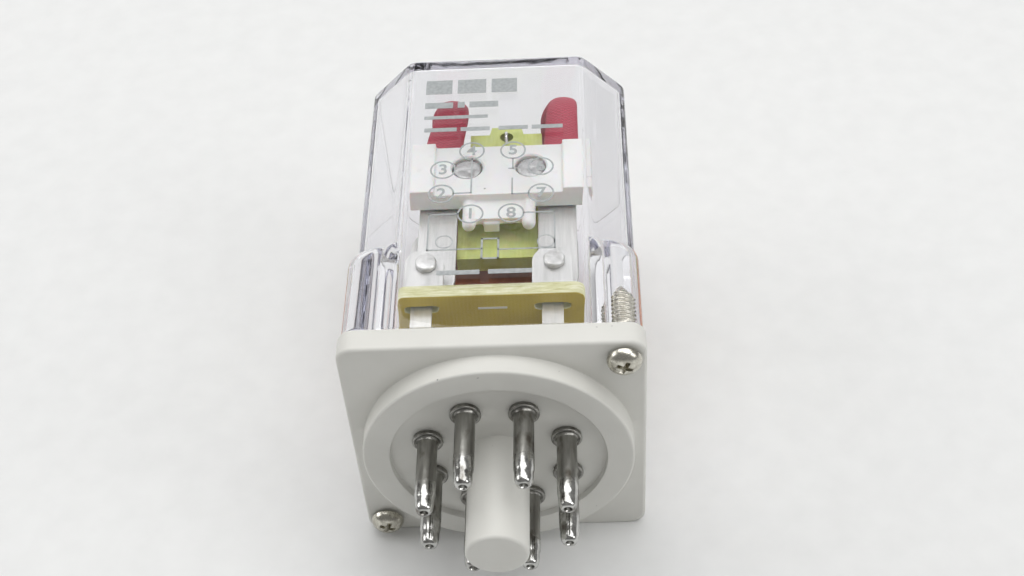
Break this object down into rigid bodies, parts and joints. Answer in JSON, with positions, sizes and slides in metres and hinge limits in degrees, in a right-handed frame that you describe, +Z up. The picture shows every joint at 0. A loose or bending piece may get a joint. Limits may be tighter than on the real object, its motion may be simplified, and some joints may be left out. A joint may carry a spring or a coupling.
{
  "type": "plug-in relay",
  "caption": "Octal-base plug-in relay with a clear octagonal cover, hinged armature, coil and changeover contacts, lying on its back.",
  "frame": {"origin": "on the surface the relay lies on, under the centre of its bounding box", "axes": "+Z up through the printed side, +Y along the relay's axis from the pins towards the cover's closed end, +X to the right as seen from the pins"},
  "size_m": [0.0348, 0.0666, 0.0348],
  "materials": {
    "base_plastic": "satin",
    "pin_metal": "bright",
    "clear_cover": "clear",
    "screw_metal": "bright",
    "laminate": "satin",
    "enamelled_copper": "gloss",
    "contact_sheet": "satin",
    "contact_silver": "bright",
    "zinc_yellow": "passivated",
    "core_iron": "satin",
    "phenolic": "satin",
    "carrier_plastic": "satin",
    "rivet_metal": "satin",
    "spring_steel": "bright",
    "copper_braid": "satin",
    "red_sleeve": "woven"
  },
  "bodies": {
    "root": {"base": "base_plastic", "bobbin": "phenolic", "coil_wire_1": "enamelled_copper", "coil_wire_8": "enamelled_copper", "core": "core_iron", "cover": "clear_cover", "cover_screw_left": "screw_metal", "cover_screw_right": "screw_metal", "frame_screw_left": "screw_metal", "frame_screw_right": "screw_metal", "front_contact_left": "contact_silver", "front_contact_right": "contact_silver", "front_plate_left": "contact_sheet", "front_plate_right": "contact_sheet", "lead_braid_left": "copper_braid", "lead_braid_right": "copper_braid", "lead_sleeve_left": "red_sleeve", "lead_sleeve_right": "red_sleeve", "pin_1": "pin_metal", "pin_2": "pin_metal", "pin_3": "pin_metal", "pin_4": "pin_metal", "pin_5": "pin_metal", "pin_6": "pin_metal", "pin_7": "pin_metal", "pin_8": "pin_metal", "plate_wire_3": "enamelled_copper", "plate_wire_4": "enamelled_copper", "plate_wire_5": "enamelled_copper", "plate_wire_6": "enamelled_copper", "rear_contact_left": "contact_silver", "rear_contact_right": "contact_silver", "rear_plate_left": "contact_sheet", "rear_plate_right": "contact_sheet", "return_spring": "spring_steel", "terminal_board": "laminate", "winding": "enamelled_copper", "yoke": "zinc_yellow"},
    "armature_group": {"armature": "zinc_yellow", "contact_carrier": "carrier_plastic", "carrier_rivet_left": "rivet_metal", "carrier_rivet_right": "rivet_metal", "moving_blade_left": "contact_sheet", "moving_blade_right": "contact_sheet", "moving_contact_left": "contact_silver", "moving_contact_right": "contact_silver"}
  },
  "joints": [
    {"name": "armature_pivot", "type": "hinge", "parent": "root", "child": "armature_group", "pos_m": [0, 0.0244, 0.02405], "axis": [1, 0, 0], "range_deg": [0, 2.5], "stiffness_Nm_per_rad": 0.004, "springref_deg": -20.05, "deforming": ["return_spring", "lead_braid_left", "lead_braid_right", "lead_sleeve_left", "lead_sleeve_right"]}
  ]
}
